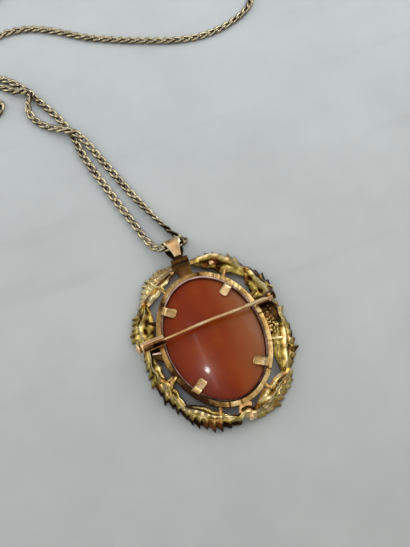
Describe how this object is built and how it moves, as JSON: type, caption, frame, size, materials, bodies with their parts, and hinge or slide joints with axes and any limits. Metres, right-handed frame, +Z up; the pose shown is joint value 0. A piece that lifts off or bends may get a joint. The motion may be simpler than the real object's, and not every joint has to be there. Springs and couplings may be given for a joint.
{
  "type": "cameo pendant",
  "caption": "Oval cameo pendant lying face down, with a toothed leaf border, claws, brooch pin and tube catch, hinged bail and a curb chain.",
  "frame": {"origin": "on the surface that the part lies on, under the middle of the oval stone", "axes": "+Z up out of the pendant's back, +Y along the stone's length towards the bail, +X towards the brooch pin's hinge"},
  "size_m": [0.106, 0.1582, 0.0083],
  "materials": {
    "stone": "polished",
    "leaf_gold": "satin",
    "pin_gold": "polished",
    "bail_gold": "satin",
    "dark_gold": "satin",
    "chain_gold": "satin"
  },
  "bodies": {
    "bail_and_chain": {"bail": "bail_gold", "chain": "chain_gold", "chain_clasp": "chain_gold"},
    "pendant": {"setting": "leaf_gold", "cameo_stone": "stone", "bail_pin": "dark_gold", "hinge_rivet": "dark_gold"},
    "pin": {"brooch_pin": "pin_gold"},
    "slide": {"catch_slide": "pin_gold"}
  },
  "joints": [
    {"name": "pendant_swing", "type": "hinge", "parent": "bail_and_chain", "child": "pendant", "pos_m": [0, 0.02303, 0.0034], "axis": [-1, 0, 0], "range_deg": [0, 100]},
    {"name": "pin_open", "type": "hinge", "parent": "pendant", "child": "pin", "pos_m": [0.01683, 0.00365, 0.0066], "axis": [0, 0.6428, 0.766], "range_deg": [0, 100]},
    {"name": "catch_draw", "type": "slide", "parent": "pendant", "child": "slide", "axis": [-1, 0, 0], "range_m": [-0.00045, 0.0024]}
  ]
}
